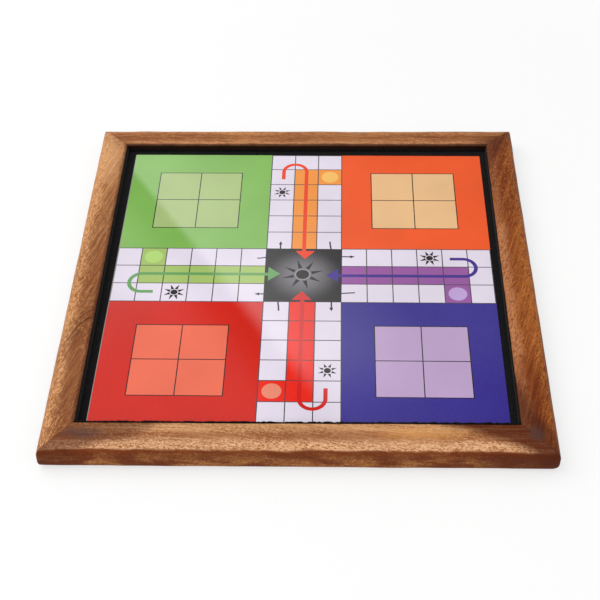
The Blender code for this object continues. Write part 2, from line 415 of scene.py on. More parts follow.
    # Away from the sanded edge the flecks come and go in long patches.
    long_patches = recipe.vector("MULTIPLY", place, (0.014, 0.05, 0.05))
    flecked = spread(noise_at(long_patches, 1.0, 2.0, 0.5, seed), 0.44, 0.58, 0.3, 1.2)
    flecked = recipe.sum("MAXIMUM", flecked, sanded_and_highlit) * takes["Flecks"]
    stain(spread(flecks, 0.48, 0.38, 0.0, 0.5) * flecked, pale)
    veins = spread(streaks(0.030, 1.5, 2.0, 0.5, 0.3), 0.585, 0.65, 0.0, 0.5)
    stain(veins * (sanded_and_highlit * -0.7 + 1.0), dark)
    ticks = spread(flecks, 0.52, 0.64) * flecked * (sanded_and_highlit * 0.3 + 0.7)
    ticks = ticks * spread(past_edge, 0.0, 0.8, 1.0, 0.45)

    # The side is redder, with golden patches full of flecks, and is painted darker as painted shade
    # on the outward face.
    low_patches = recipe.vector("MULTIPLY", place, (0.045, 0.045, 0.11))
    golden = spread(noise_at(low_patches, 1.0, 4.0, 0.62, seed), 0.41, 0.59)
    golden = golden * spread(z, 13.5, 6.0, 0.35, 1.0) * spread(x, 140.0, 85.0, 0.25, 1.0)
    side = recipe.mix(golden, takes["Side"], takes["Side Gold"])
    side = recipe.mix((golden * 0.36 + 0.06) * spread(flecks, 0.50, 0.40), side, pale)
    side = recipe.mix(spread(lines, 0.50, 0.32, 0.0, 0.6), side, takes["Heart"])
    arris = spread(past_edge, 0.3, 1.0) * spread(past_edge, 2.6, 1.6)
    side = recipe.mix(arris * 0.6, side, takes["Side"])
    stain(spread(past_edge, -0.3, 1.3) * 0.94, side)
    stain(ticks, dark)

    # Darker heartwood runs in from the ends, along the grain.
    uneven = blotches * 40.0 + ((y + 134.0) * 2.4 - 20.0)
    hearts = []
    for sign, label in ((-1.0, "Low"), (1.0, "High")):
        reach = x * sign + uneven - takes[label + " At"]
        hearts.append(spread(reach, 0.0, 24.0) * takes[label + " Heart"])
    heart = recipe.sum("MAXIMUM", *hearts)
    stain(heart * spread(lines, 0.35, 0.68, 1.0, 0.84), takes["Heart"])
    stain(stipple * 0.32, shade("34170A"))
    # Painted shade: the inner edge of the top is painted darker by Rim, and the inner side just
    # under the top is painted nearly black, as the shade of the recess.
    wall = spread(y, -133.4, -132.7) * spread(patches * -1.2 + (z + 0.6), 15.8, 15.0)
    rim = spread(patches * 2.0 + y, -134.2, -132.4)
    stain(rim * takes["Rim"], shade("38160A"))
    stain(wall * 0.92, shade("1C0C06"))

    rough = stipple * 0.15 + spread(fibres, 0.3, 0.7, 0.40, 0.56)
    relief = fibres * 0.35 + lines * 0.4 + stipple * -0.5 + ticks * -0.2
    return recipe.give(colour, rough, relief)


def twill_weave():
    """Black twill felt: diagonal ribs, nap and faint specks."""
    recipe, takes = start_group("black_twill")
    place = takes["Place"]
    x, y, z = recipe.apart(place)
    ribs = recipe.sum("SINE", (x + y) * 4.4)
    cross = recipe.sum("SINE", (x - y) * 7.5)
    nap = recipe.noise(place, 2.2, 4.0, 0.7)
    height = ribs * 0.35 + cross * 0.12 + nap * 1.2
    worn = recipe.spread(recipe.noise(place, 0.06, 3.0, 0.6), 0.45, 0.75)
    speck = recipe.spread(recipe.noise(place, 1.5, 1.0, 0.4), 0.72, 0.78)
    colour = recipe.mix(recipe.spread(height, 0.1, 1.2), shade("040404"), shade("161415"))
    colour = recipe.mix(worn * 0.2, colour, shade("211E1D"))
    colour = recipe.mix(speck * 0.5, colour, shade("6E6A66"))
    return recipe.give(colour, recipe.spread(nap, 0.3, 0.7, 0.85, 0.98), height)


def printed_ink():
    """Ink under clear film: faint mottling, dust and rubbed places."""
    recipe, takes = start_group("ink_under_film", {"Ink": "808080"})
    place = takes["Place"]
    cloud = recipe.noise(place, 0.018, 3.0, 0.5)
    dust = recipe.noise(place, 1.4, 2.0, 0.6)
    rubbed = recipe.noise(place, 0.05, 4.0, 0.65)
    colour = recipe.mix(recipe.spread(cloud, 0.3, 0.7, 0.0, 0.10), takes["Ink"], (0, 0, 0, 1))
    colour = recipe.mix(recipe.spread(dust, 0.45, 0.75, 0.0, 0.012), colour, (1, 1, 1, 1))
    rough = recipe.spread(rubbed, 0.4, 0.75, 0.30, 0.42)
    return recipe.give(colour, rough, recipe.noise(place, 0.03, 1.0, 0.4))


def new_material(name):
    material = bpy.data.materials.new(name)
    material.use_nodes = True
    return material, Recipe(material.node_tree), material.node_tree.nodes


def start_material(name, group, depth, strength=1.0, turn=0.0, gloss=None):
    """A material whose group reads Object coordinates in millimetres."""
    material, recipe, nodes = new_material(name)
    shader = nodes["Principled BSDF"]
    mapping = {"Vector": recipe.read("ShaderNodeTexCoord", "Object")}
    mapping["Scale"] = (1000, 1000, 1000)
    mapping["Rotation"] = (0, 0, turn)
    place = recipe.made("ShaderNodeMapping", mapping)
    effect = recipe.node("ShaderNodeGroup", node_tree=group)
    recipe.put(place, effect.inputs["Place"])
    finish = {label: Flow(recipe, effect.outputs[label]) for label in effect.outputs.keys()}
    bump = {"Distance": depth, "Strength": strength, "Height": finish["Height"]}
    recipe.put(finish["Color"], shader.inputs["Base Color"])
    recipe.put(finish["Roughness"], shader.inputs["Roughness"])
    recipe.put(recipe.made("ShaderNodeBump", bump), shader.inputs["Normal"])
    for key, value in (gloss or {}).items():
        shader.inputs[key].default_value = value
    return material, recipe, effect


def small_part_material(
    name, figure, grain, reach, tones, rough, depth, stretch=(1, 1, 1), gloss=None
):
    """One noise, of this grain, gives the colour, the roughness and the height."""
    recipe, takes = start_group(figure)
    scale, detail, roughness, bend = grain
    spot = recipe.vector("MULTIPLY", takes["Place"], stretch)
    lumps = recipe.noise(spot, scale, detail, roughness, None, bend)
    colour = recipe.mix(recipe.spread(lumps, *reach), shade(tones[0]), shade(tones[1]))
    group = recipe.give(colour, recipe.spread(lumps, 0.3, 0.7, *rough), lumps)
    return start_material(name, group, depth, gloss=gloss)[0]


def rail_wood(name, group, turn, values):
    gloss = {"Coat Weight": 0.02, "Coat Roughness": 0.25, "Specular IOR Level": 0.08}
    material, recipe, effect = start_material(name, group, 0.0002, 0.6, -turn, gloss)
    for key, value in values.items():
        effect.inputs[key].default_value = shade(value) if isinstance(value, str) else value
    return material


def paint_over(material, paint, tone):
    """Lays one more tone over a finished material, where the mask that paint makes says."""
    recipe = Recipe(material.node_tree)
    nodes = material.node_tree.nodes
    base = nodes["Principled BSDF"].inputs["Base Color"]
    mask = paint(recipe, Flow(recipe, nodes["Mapping"].outputs[0]))
    recipe.put(recipe.mix(mask, Flow(recipe, base.links[0].from_socket), shade(tone)), base)


def add_shake(material, at, bend):
    """A fine open crack over the top of one rail, with faint lines beside it.

    It starts at the inner edge, this far along the rail, and bends away from there.
    """

    def crack_mask(recipe, place):
        spread = recipe.spread
        x, y, z = recipe.apart(place)
        run = y * -1.0 - 133.8
        aside = x - at - run * (run * bend + 0.25)
        aside = recipe.noise(place, 0.5, 2.0, 0.6) * 1.2 + (aside - 0.6)
        on_top = spread(z, 13.0, 14.5) * spread(run, -1.2, 0.5)
        crack = spread(abs(aside), 1.0, 0.3) * spread(run, 16.0, 12.5, 0.0, 0.9)
        beside = recipe.noise(recipe.together(aside * 0.55, run * 0.06, 3.0), 1.0, 3.0, 0.6)
        faint = spread(beside, 0.52, 0.66, 0.0, 0.55) * spread(abs(aside + 8.0), 26.0, 8.0)
        return recipe.sum("MAXIMUM", crack, faint) * on_top

    paint_over(material, crack_mask, "43200F")


def add_stain(material, at, deep, long, wide, tone="4C3A38", strength=0.55):
    """A patch that took the staining differently, this far along and into one rail."""

    def patch_mask(recipe, place):
        x, y, z = recipe.apart(place)
        reach = recipe.together((x - at) / long, (y + deep) / wide, 0.0)
        away = recipe.noise(place, 0.22, 4.0, 0.6) + (recipe.vector("LENGTH", reach) - 0.5)
        return recipe.spread(away, 1.0, 0.25, 0.0, strength)

    paint_over(material, patch_mask, tone)


# Each rail's wood. Lengths are in millimetres, along the rail or in from the middle.
RAIL_WOODS = {
    "front": {
        "Seed": 3.1, "Sweep": 26.0, "Lean": 0.30, "Stretch": 0.60, "Fineness": 1.15,
        "Pale": "E3AE80", "Middle": "B66E38", "Dark": "8A481E", "Bright": "F2CEAE",
        "Side": "6C2A03", "Side Gold": "A2622A", "Heart": "58240C", "Inner Tone": "E4AE74",
        "Low At": 72.0, "Low Heart": 0.70, "High At": 84.0, "High Heart": 1.0,
        "Band": 143.8, "Edge": 149.9, "Flecks": 0.75, "Sanded Highlight": 0.9, "Inner": 0.5,
        "Hollow": 0.42, "Hollow At": 139.4, "Hollow Wide": 5.5, "Light Reach": 190.0,
    },
    "right": {
        "Seed": 11.7, "Slant": 0.30, "Lean": 0.45, "Stretch": 0.36, "Fineness": 1.45,
        "Pale": "C07434", "Middle": "964618", "Dark": "6A2A0C", "Bright": "DA9A40",
        "Side": "4C1E08", "Side Gold": "7A4A1C", "Heart": "481C0C", "Inner Tone": "C68A62",
        "Low At": 88.0, "Low Heart": 0.75, "High At": 92.0, "High Heart": 0.65,
        "Band": 145.5, "Edge": 151.4, "Flecks": 0.8, "Sanded Highlight": 0.3, "Inner": 0.7,
        "Hollow": 0.14, "Light At": -15.0, "Light Reach": 98.0,
    },
    "back": {
        "Seed": 23.4, "Sweep": 4.0, "Lean": 0.15, "Stretch": 0.30, "Fineness": 1.3,
        "Pale": "CC8C58", "Middle": "A66432", "Dark": "70381A", "Bright": "E0AC78",
        "Side": "562A10", "Side Gold": "7A4A1C", "Heart": "4C2110", "Inner Tone": "DCA070",
        "Low At": 112.0, "Low Heart": 0.7, "High At": 118.0, "High Heart": 0.45,
        "Band": 146.0, "Edge": 151.0, "Flecks": 0.6, "Sanded Highlight": 0.6, "Inner": 0.5,
        "Hollow": 0.22, "Rim": 0.85, "Light Reach": 220.0,
    },
    "left": {
        "Seed": 41.9, "Slant": 0.30, "Lean": 0.38, "Stretch": 0.36, "Fineness": 1.4,
        "Pale": "DC9E66", "Middle": "AE6A3A", "Dark": "7E4626", "Bright": "F2C69E",
        "Side": "6E3814", "Side Gold": "7A4A1C", "Heart": "5A3020",
        "Low At": 118.0, "Low Heart": 0.35, "High At": 128.0, "High Heart": 0.35,
        "Band": 144.5, "Edge": 152.0, "Flecks": 0.65, "Sanded Highlight": 0.85, "Rim": 0.55,
        "Hollow": 0.45, "Hollow At": 136.5, "Hollow Wide": 8.0, "Hollow From": -50.0,
        "Light At": -150.0, "Light Reach": 170.0,
    },
}

# Where the stain differs: the rail, then along, in, long and wide, and another tone.
STAINS = (
    ("front", -127.0, 138.5, 18.0, 5.5),
    ("front", 141.0, 138.5, 9.0, 6.0),
    ("right", -137.0, 140.0, 9.0, 6.0),
    ("front", 5.0, 139.0, 48.0, 8.0, "7A4424", 0.28),
    ("front", 72.0, 138.0, 38.0, 7.0, "E6A65E", 0.35),
    ("front", 132.0, 153.0, 42.0, 3.5, "481A06", 0.5),
    ("left", -118.0, 143.0, 42.0, 11.0, "EAB684", 0.35),
)

# How far the opening's corners stand from a true square, in metres (x, y). The front
# rail is a little wider than the others, so its inner edge stands further in.
OPENING_DRIFT = {
    (-1, -1): (0.0, 0.0021),
    (1, -1): (-0.0012, 0.0027),
    (-1, 1): (0.0, 0.0),
    (1, 1): (0.0, 0.0),
}


def shift_opening(rail):
    """The drift is full at the inner edge, and fades out before the outer one."""
    for vertex in rail.data.vertices:
        x, y, z = vertex.co
        out = max(abs(x), abs(y))
        share = limit((FRAME_HALF - UNMOVED_EDGE - out) / (RAIL_WIDTH - UNMOVED_EDGE))
        vertex.co += corner_drift(OPENING_DRIFT, x, y, INSIDE) * share


def model_moulding():
    """The front rail, shaped from a block at its place and mitred at both ends."""
    rail = add_shape(
        "moulding",
        bpy.ops.mesh.primitive_cube_add,
        size=1,
        location=(0, RAIL_WIDTH / 2 - FRAME_HALF, FRAME_HEIGHT / 2),
        scale=(2 * FRAME_HALF + 0.01, RAIL_WIDTH, FRAME_HEIGHT),
    )
    settle(rail)

    def on_edge(point, side, height):
        return near(point.y, side) and near(point.z, height)

    start_editing(rail, "EDGE")
    for height, size in ((FRAME_HEIGHT, UPPER_ROUND), (0.0, LOWER_ROUND)):
        choose_edges(
            rail,
            lambda a, b: on_edge(a, -FRAME_HALF, height) and on_edge(b, -FRAME_HALF, height),
        )
        bpy.ops.mesh.bevel(offset=size, segments=9, profile=0.5, affect="EDGES")
    choose_edges(
        rail,
        lambda a, b: on_edge(a, -INSIDE, b.z) and near(b.y, -INSIDE) and abs(a.x - b.x) > 0.1,
    )
    bpy.ops.mesh.bevel(offset=INNER_ROUND, segments=4, profile=0.5, affect="EDGES")

    bpy.ops.mesh.select_mode(type="FACE")
    for height in (GROOVE_LOW, GROOVE_HIGH):
        choose(rail, "faces", lambda face: face.normal.y > 0.999)
        bpy.ops.mesh.bisect(plane_co=(0, 0, height), plane_no=(0, 0, 1))
    choose(
        rail,
        "faces",
        lambda face: face.normal.y > 0.999
        and GROOVE_LOW < face.calc_center_median().z < GROOVE_HIGH,
    )
    extrude(0, -GROOVE_DEPTH, 0)

    # Cuts along the length let the sanding follow the wood.
    for cut in range(1, RAIL_CUTS):
        cut_through((FRAME_HALF * (2 * cut / RAIL_CUTS - 1), 0, 0), (1, 0, 0))
    for cut in range(CORNER_CUTS):
        for side in (-1, 1):
            spot = side * (FRAME_HALF - CORNER_ROUND * (1 - cut / CORNER_CUTS))
            cut_through((spot, 0, 0), (1, 0, 0))
    for side in (-1, 1):
        spot = (side * (FRAME_HALF - MITRE_PLAY), -FRAME_HALF, 0)
        cut_through(spot, (side, 1, 0), use_fill=True, clear_outer=True)
    choose_all()
    bpy.ops.mesh.remove_doubles(threshold=0.000002)

    bpy.ops.mesh.select_mode(type="EDGE")

    def to_ease(point):
        grooved = point.y > -INSIDE - GROOVE_DEPTH - 1e-5 and (
            GROOVE_LOW - 1e-5 < point.z < GROOVE_HIGH + 1e-5
        )
        return near(abs(point.x) + point.y, -MITRE_PLAY, 2e-5) and not grooved

    choose_edges(
        rail,
        lambda a, b: to_ease(a) and to_ease(b) and not (near(a.z, 0) and near(b.z, 0)),
    )
    bpy.ops.mesh.bevel(offset=MITRE_EASE, segments=2, profile=0.5, affect="EDGES")
    bpy.ops.object.mode_set(mode="OBJECT")
    return rail


def sharpen_front(rail):
    """Away from its ends, the front rail's upper outer edge is rounded less than elsewhere."""
    for vertex in rail.data.vertices:
        x, y, z = vertex.co
        out = -y - (FRAME_HALF - UPPER_ROUND)
        up = z - (FRAME_HEIGHT - UPPER_ROUND)
        if out < -1e-5 or up < -1e-5:
            continue
        turn = math.atan2(out, up)
        share = limit((SHARP_HALF - abs(x)) / SHARP_FADE)
        share = share * share * (3 - 2 * share)
        sharp_y = FRONT_ROUND - FRAME_HALF - FRONT_ROUND * math.sin(turn)
        sharp_z = FRAME_HEIGHT - FRONT_ROUND + FRONT_ROUND * math.cos(turn)
        vertex.co.y += (sharp_y - y) * share
        vertex.co.z += (sharp_z - z) * share


def above_straight(height):
    """From 1 at the bottom to 0 where the upper round begins."""
    return max(0.0, 1 - height / (FRAME_HEIGHT - UPPER_ROUND))


def side_lean(height):
    """How far the outer sides stand out at this height."""
    return SIDE_LEAN * above_straight(height) ** 1.5


def lean_sides(rail):
    """The outer sides lean out a little towards the bottom."""
    for vertex in rail.data.vertices:
        x, y, z = vertex.co
        share = limit((max(abs(x), abs(y)) - FRAME_HALF + 0.006) / 0.004)
        wider = 1 + side_lean(z) * share / FRAME_HALF
        vertex.co.x *= wider
        vertex.co.y *= wider


def round_corners(rail):
    """The frame's four upright corners are eased, as one square is turned into a disc.

    The right front corner is worn rounder towards the bottom.
    """
    for vertex in rail.data.vertices:
        x, y, z = vertex.co
        size = CORNER_ROUND if y < 0 else BACK_CORNER_ROUND
        if x > 0 > y:
            size += WORN_CORNER * above_straight(z)
        dx = abs(x) - (FRAME_HALF - size)
        dy = abs(y) - (FRAME_HALF - size)
        if dx > 0 and dy > 0:
            ease = max(dx, dy) / math.hypot(dx, dy)
            vertex.co.x = math.copysign(FRAME_HALF - size + dx * ease, x)
            vertex.co.y = math.copysign(FRAME_HALF - size + dy * ease, y)


def sand_moulding(rail, across):
    """Small hollows and rises of hand sanding, the same at both sides of each mitre."""
    top = rail.vertex_groups.new(name="top")
    round_edge = rail.vertex_groups.new(name="round_edge")
    for vertex in rail.data.vertices:
        out = abs(vertex.co[across])
        along = abs(vertex.co[1 - across])
        outer = limit((out - 0.1435) / 0.004) * limit((0.150 - along) / 0.012)
        top.add([vertex.index], limit((vertex.co.z - 0.0105) / 0.003), "REPLACE")
        round_edge.add([vertex.index], outer, "REPLACE")
    take_up(rail)
    cloud = bpy.data.textures.get("hand_sanding") or bpy.data.textures.new("hand_sanding", "CLOUDS")
    cloud.noise_scale = SANDING_SCALE
    cloud.noise_depth = 1
    for group, direction in (("top", "Z"), ("round_edge", "XY"[across])):
        push = rail.modifiers.new("sanding_" + group, "DISPLACE")
        push.texture = cloud
        push.texture_coords = "LOCAL"
        push.direction = direction
        push.strength = SANDING_DEPTH
        push.mid_level = 0.5
        push.vertex_group = group
        bpy.ops.object.modifier_apply(modifier=push.name)
    bpy.ops.object.shade_smooth_by_angle(angle=math.radians(32))


def make_frame():
    figure = wood_figure()
    woods = {
        side: rail_wood(side + "_rail_wood", figure, RAILS[side][0], values)
        for side, values in RAIL_WOODS.items()
    }
    add_shake(woods["left"], 44.4, 0.1)
    for side, *values in STAINS:
        add_stain(woods[side], *values)
    first = model_moulding()
    made = {}
    for side in RAILS:
        made[side] = first if side == "front" else first.copy()
        if side != "front":
            made[side].data = first.data.copy()
            bpy.context.scene.collection.objects.link(made[side])
    sharpen_front(first)
    for side, (turn, across) in RAILS.items():
        rail = made[side]
        rail.name = side + "_moulding"
        rail.rotation_euler = (0, 0, turn)
        settle(rail)
        sand_moulding(rail, across)
        shift_opening(rail)
        lean_sides(rail)
        round_corners(rail)
        rail.data.materials.clear()
        rail.data.materials.append(woods[side])
        hand_over(rail, side + "_rail")


def make_lining(name, node, top, felt, edges=()):
    """A square of black felt glued to the hardboard, under the print.

    Edges are strips of the same felt that turn up the rails' inner sides.
    """
    lining = add_shape(
        name,
        bpy.ops.mesh.primitive_grid_add,
        x_subdivisions=66,
        y_subdivisions=66,
        size=2 * LINING_HALF,
        location=(0, 0, top),
    )
    settle(lining)
    start_editing(lining, "FACE")
    choose_all()
    extrude(0, 0, -LINING_THICKNESS)
    finish_mesh(lining, 40, felt)
    take_up(lining)
    for edge in edges:
        edge.select_set(True)
    if edges:
        bpy.ops.object.join()
    hand_over(lining, node)


def make_wall_lining(side, top, ragged, felt):
    """A strip of the same felt turned up the inside of one rail."""
    turn = RAILS[side][0]
    low = 0.0100
    strip = add_shape(
        "wall_lining_" + side,
        bpy.ops.mesh.primitive_grid_add,
        x_subdivisions=176,
        y_subdivisions=5,
        size=1,
        location=(0, WALL_LINING_PLAY - INSIDE, (low + top) / 2),
        rotation=(-math.pi / 2, 0, 0),
    )
    strip.scale = (2 * LINING_HALF - 0.0004, top - low, 1)
    settle(strip)
    for vertex in strip.data.vertices:
        height = (vertex.co.z - low) / (top - low)
        fray = noise.noise(Vector((vertex.co.x * 420, turn * 7, 1.3)))
        fray += 0.6 * noise.noise(Vector((vertex.co.x * 1300, turn * 3, 5.1)))
        vertex.co.z += ragged * fray * max(0.0, height - 0.5) * 2
        vertex.co.y += 0.0001 * noise.noise(Vector((vertex.co.x * 200, vertex.co.z * 200, turn)))
    strip.rotation_euler = (0, 0, turn)
    settle(strip)
    shift_opening(strip)
    start_editing(strip, "FACE")
    choose_all()
    bpy.ops.mesh.solidify(thickness=WALL_LINING_THICKNESS)
    finish_mesh(strip, 40, felt)
    return strip


def make_linings():
    gloss = {"Specular IOR Level": 0.08, "Sheen Weight": 0.05, "Sheen Roughness": 0.5}
    felt = start_material("black_twill_felt", twill_weave(), 0.00018, gloss=gloss)[0]
    turned_up = [
        make_wall_lining("front", 0.0163, 0.0010, felt),
        make_wall_lining("left", 0.0149, 0.0002, felt),
        make_wall_lining("right", 0.0149, 0.0002, felt),
        make_wall_lining("back", 0.0125, 0.0003, felt),
    ]
    make_lining("top_lining", "top_felt", 0.0104, felt, turned_up)
    make_lining("bottom_lining", "bottom_felt", 0.0064, felt)


# Outlines of the prints are in cells, from the middle of the sheet.
def box_outline(x0, y0, x1, y1):
    return [(x0, y0), (x1, y0), (x1, y1), (x0, y1)]


def disc_outline(x, y, radius, steps=40):
    return [
        (
            x + radius * math.cos(2 * math.pi * i / steps),
            y + radius * math.sin(2 * math.pi * i / steps),
        )
        for i in range(steps)
    ]


def stroke_pieces(points, widths):
    """A line of changing width, as a run of four-sided outlines."""
    sides = []
    for i, (x, y) in enumerate(points):
        ahead = points[min(i + 1, len(points) - 1)]
        behind = points[max(i - 1, 0)]
        dx = ahead[0] - behind[0]
        dy = ahead[1] - behind[1]
        size = math.hypot(dx, dy) or 1.0
        half = widths[i] / 2
        nx = -dy / size * half
        ny = dx / size * half
        sides.append(((x + nx, y + ny), (x - nx, y - ny)))
    return [
        [sides[i][1], sides[i + 1][1], sides[i + 1][0], sides[i][0]] for i in range(len(points) - 1)
    ]


def quarter_turned(outline, quarters):
    """The outline turned clockwise by so many quarters."""
    for _ in range(quarters % 4):
        outline = [(y, -x) for x, y in outline]
    return outline


def ray_outline(x, y, angle, start, end, half):
    ux = math.cos(angle)
    uy = math.sin(angle)
    return [
        (x + ux * start - uy * half, y + uy * start + ux * half),
        (x + ux * start + uy * half, y + uy * start - ux * half),
        (x + ux * end, y + uy * end),
    ]


def signed_area(outline):
    """Twice the area, above zero where the outline runs anticlockwise."""
    return sum(a[0] * b[1] - b[0] * a[1] for a, b in zip(outline, outline[1:] + outline[:1]))


LUDO_INKS = {
    "green_base": "7FB653",
    "orange_base": "F15514",
    "blue_base": "33268C",
    "red_base": "D01C06",
    "green_yard": "A7BE7A",
    "orange_yard": "EABB86",
    "blue_yard": "BCA0C8",
    "red_yard": "EC6C50",
    "cell_paper": "E4DBEA",
    "green_home": "A4C068",
    "orange_home": "F3953C",
    "violet_home": "98569F",
    "red_home": "ED230D",
    "green_spot": "B2D873",
    "orange_spot": "F6BE62",
    "violet_spot": "C0A2D8",
    "red_spot": "EA8A70",
    "green_arrow": "669E5C",
    "orange_arrow": "EC4010",
    "violet_arrow": "40298A",
    "red_arrow": "D41A12",
    "grid_line": "443F46",
    "black_ink": "161416",
    "centre_ink": "191617",
    "centre_star": "1A1719",
    "centre_ring": "9C979A",
    "paper_edge": "8E8884",
}


SNAKE_INKS = {
    "cream_square": "F6EBCB",
    "sky_square": "9FD0EA",
    "leaf_square": "A8D78B",
    "sun_square": "F9D25E",
    "rose_square": "F2A0A0",
    "board_border": "27418C",
    "number_ink": "1E2036",
    "square_line": "2C3050",
    "ladder_rail": "8A5326",
    "ladder_rung": "B8763A",
    "green_snake": "3E8F3C",
    "green_band": "B6D94A",
    "red_snake": "C6382C",
    "red_band": "F3B13C",
    "blue_snake": "3157A8",
    "blue_band": "8AC4E8",
    "violet_snake": "74409A",
    "violet_band": "D9A5DD",
    "eye_white": "FAFAF5",
    "eye_black": "141414",
    "tongue_red": "D5302B",
    "sheet_edge": "DAD6D0",
}


INK = printed_ink()


def ink_material(name, code):
    gloss = {"Specular IOR Level": 0.1, "Coat Weight": 1.0, "Coat Roughness": 0.02, "Coat IOR": 1.5}
    material, recipe, effect = start_material(name, INK, 0.0004, 0.35, gloss=gloss)
    effect.inputs["Ink"].default_value = shade(code)
    if name == "centre_ink":
        # The centre square is printed paler in its middle.
        spot = recipe.read("ShaderNodeTexCoord", "Object")
        away = recipe.vector("DISTANCE", spot, (*LUDO_SHIFT, LUDO_TOP))
        glow = recipe.spread(away, 0.005, 0.027)
        recipe.put(recipe.mix(glow, shade("78747A"), shade(code)), effect.inputs["Ink"])
    return material


def print_sheet(name, layers, inks, cell):
    """One flat mesh: each face takes the ink of the topmost outline that covers it.

    The last ink is the paper's own, for the cut edge and the back.
    """
    points = []
    faces = []
    for _, outline in layers:
        if signed_area(outline) < 0:
            outline = outline[::-1]
        faces.append(list(range(len(points), len(points) + len(outline))))
        points.extend(Vector(p) for p in outline)
    spots, _, cut, _, _, sources = delaunay_2d_cdt(points, [], faces, 1, 1e-5)
    mesh = bpy.data.meshes.new(name)
    mesh.from_pydata([(p.x * cell, p.y * cell, 0) for p in spots], [], cut)
    for ink, code in inks.items():
        mesh.materials.append(ink_material(ink, code))
    order = list(inks)
    for face, source in zip(mesh.polygons, sources):
        face.material_index = order.index(layers[max(source)][0])
    sheet = add_object(name, mesh)
    start_editing(sheet, "FACE")
    choose_all()
    bpy.ops.mesh.normals_make_consistent(inside=False)
    bpy.ops.object.mode_set(mode="OBJECT")
    if mesh.polygons[0].normal.z < 0:
        start_editing(sheet, "FACE")
        choose_all()
        bpy.ops.mesh.flip_normals()
    start_editing(sheet, "EDGE")
    work = bmesh.from_edit_mesh(mesh)
    for edge in work.edges:
        edge.select_set(edge.is_boundary)
    bmesh.update_edit_mesh(mesh)
    bpy.ops.mesh.extrude_edges_move(TRANSFORM_OT_translate={"value": (0, 0, -SHEET_THICKNESS)})
    bpy.ops.mesh.edge_face_add()
    bpy.ops.object.mode_set(mode="OBJECT")
    for face in mesh.polygons:
        if face.normal.z < 0.5:
            face.material_index = len(inks) - 1
    return sheet


GRID_LINE = 0.040


def ludo_layers():
    half = LUDO_CELLS / 2
    layers = [("cell_paper", box_outline(-half, -half, half, half))]
    homes = ("orange", "violet", "red", "green")
    bases = ("green", "orange", "blue", "red")

    def lay(ink, outline, quarter=0):
        layers.append((ink, quarter_turned(outline, quarter)))

    for quarter, (base, home) in enumerate(zip(bases, homes)):
        for ink, *box in (
            (base + "_base", -half, 1.5, -1.5, half),
            ("black_ink", -6.27, 2.73, -2.73, 6.27),
            (base + "_yard", -6.23, 2.77, -2.77, 6.23),
            ("black_ink", -4.52, 2.77, -4.48, 6.23),
            ("black_ink", -6.23, 4.48, -2.77, 4.52),
            (home + "_home", -0.5, 1.5, 0.5, 6.5),
            (home + "_home", 0.5, 5.5, 1.5, 6.5),
        ):
            lay(ink, box_outline(*box), quarter)
    for quarter in range(4):
        for x in (-1.5, -0.5, 0.5, 1.5):
            column = box_outline(x - GRID_LINE / 2, 1.5, x + GRID_LINE / 2, half)
            lay("grid_line", column, quarter)
        for row in range(2, 8):
            y = min(row + 0.5, half - GRID_LINE / 2)
            lay("grid_line", box_outline(-1.5, y - GRID_LINE / 2, 1.5, y + GRID_LINE / 2), quarter)
    for quarter, home in enumerate(homes):
        lay(home + "_spot", disc_outline(1.0, 6.0, 0.36), quarter)
        draw_cell_star(lay, quarter)
        draw_home_arrow(lay, home + "_arrow", quarter)
        draw_way_arrows(lay, quarter)
    draw_centre(lay)
    lay("paper_edge", box_outline(-half, -half, -half + 0.028, half))
    for quarter, home in enumerate(homes):
        lane, head = HOME_HOOKS[quarter][3:]
        lay(home + "_arrow", box_outline(lane - 0.0775, 1.35, lane + 0.0775, 1.53), quarter)
        tip = [(head - 0.39, 1.38), (head + 0.39, 1.38), (head, 0.91)]
        lay(home + "_arrow", tip, quarter)
    return layers


def draw_cell_star(lay, quarter):
    """A small star, a little larger in the two side arms."""
    x, y = -1.0, 5.0
    reach, half, core = (0.37, 0.055, 0.13) if quarter % 2 == 0 else (0.435, 0.068, 0.14)
    for ray in range(8):
        angle = math.radians(22 + 45 * ray)
        lay("black_ink", ray_outline(x, y, angle, 0.17, reach, half), quarter)
    lay("black_ink", disc_outline(x, y, core, 20), quarter)


# Each arm's hooked arrow: where its short leg stands and ends, how high the hook is, and
# where the long leg and the arrowhead stand.
HOME_HOOKS = (
    (-0.975, 5.85, 6.35, 0.0, 0.05),
    (-0.955, 5.80, 6.305, 0.03, 0.02),
    (-0.945, 5.85, 6.35, 0.0, 0.035),
    (-0.97, 5.83, 6.315, 0.03, 0.055),
)


def draw_home_arrow(lay, ink, quarter):
    leg, end, bend, lane, _ = HOME_HOOKS[quarter]
    middle = (leg + lane) / 2
    radius = (lane - leg) / 2
    path = [(leg, end), (leg, bend)]
    for step in range(1, 25):
        angle = math.pi * (1 - step / 24)
        path.append((middle + radius * math.cos(angle), bend + radius * math.sin(angle)))
    path.append((lane, 1.38))
    for part in stroke_pieces(path, [0.155] * len(path)):
        lay(ink, part, quarter)


# Where each arm's way-in arrow and way-out line stand, and how much longer they are.
WAY_MARKS = (
    (-0.95, 1.05, 0.0),
    (-1.055, 0.99, 0.09),
    (-1.12, 0.91, 0.035),
    (-1.07, 0.96, -0.08),
)


def draw_way_arrows(lay, quarter):
    at, tail, more = WAY_MARKS[quarter]
    neck = 1.76 + more
    lay("black_ink", box_outline(at - 0.03, 1.5, at + 0.03, neck + 0.04), quarter)
    lay("black_ink", [(at - 0.08, neck), (at + 0.08, neck), (at, neck + 0.19)], quarter)
    heights = (1.5, 1.62, neck, neck + 0.18)
    bend = [(tail + aside, y) for aside, y in zip((0.03, 0.015, -0.005, -0.015), heights)]
    for part in stroke_pieces(bend, [0.06] * 4):
        lay("black_ink", part, quarter)


